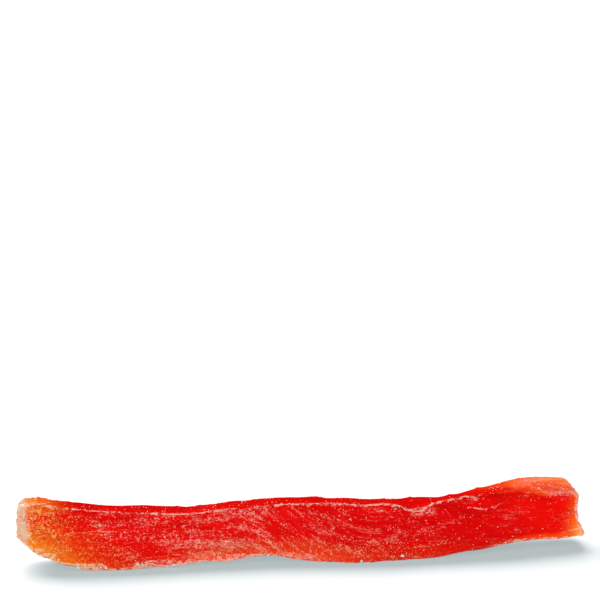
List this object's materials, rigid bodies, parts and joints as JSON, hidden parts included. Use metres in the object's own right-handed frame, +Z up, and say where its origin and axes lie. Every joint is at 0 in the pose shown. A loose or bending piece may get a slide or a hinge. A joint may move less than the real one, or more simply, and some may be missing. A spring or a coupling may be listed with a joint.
{
  "type": "dried papaya spear",
  "caption": "Candied dried papaya strip, cut lengthwise, with a wrinkled outer side, a craggy seed side and a light bloom of sugar along its edges.",
  "frame": {"origin": "middle of the box's underside, on the surface that the strip lies on", "axes": "+X along the strip from the stalk end to the blossom end, -Y out of the peeled outer side, +Y out of the side that faced the seeds, +Z up"},
  "size_m": [0.129, 0.0186, 0.0152],
  "materials": {
    "flesh": "translucent candied fruit flesh, deep red to orange, softly glossy where smooth and dulled by fine sugar"
  },
  "bodies": {
    "root": {"papaya_spear": "flesh"}
  },
  "joints": []
}
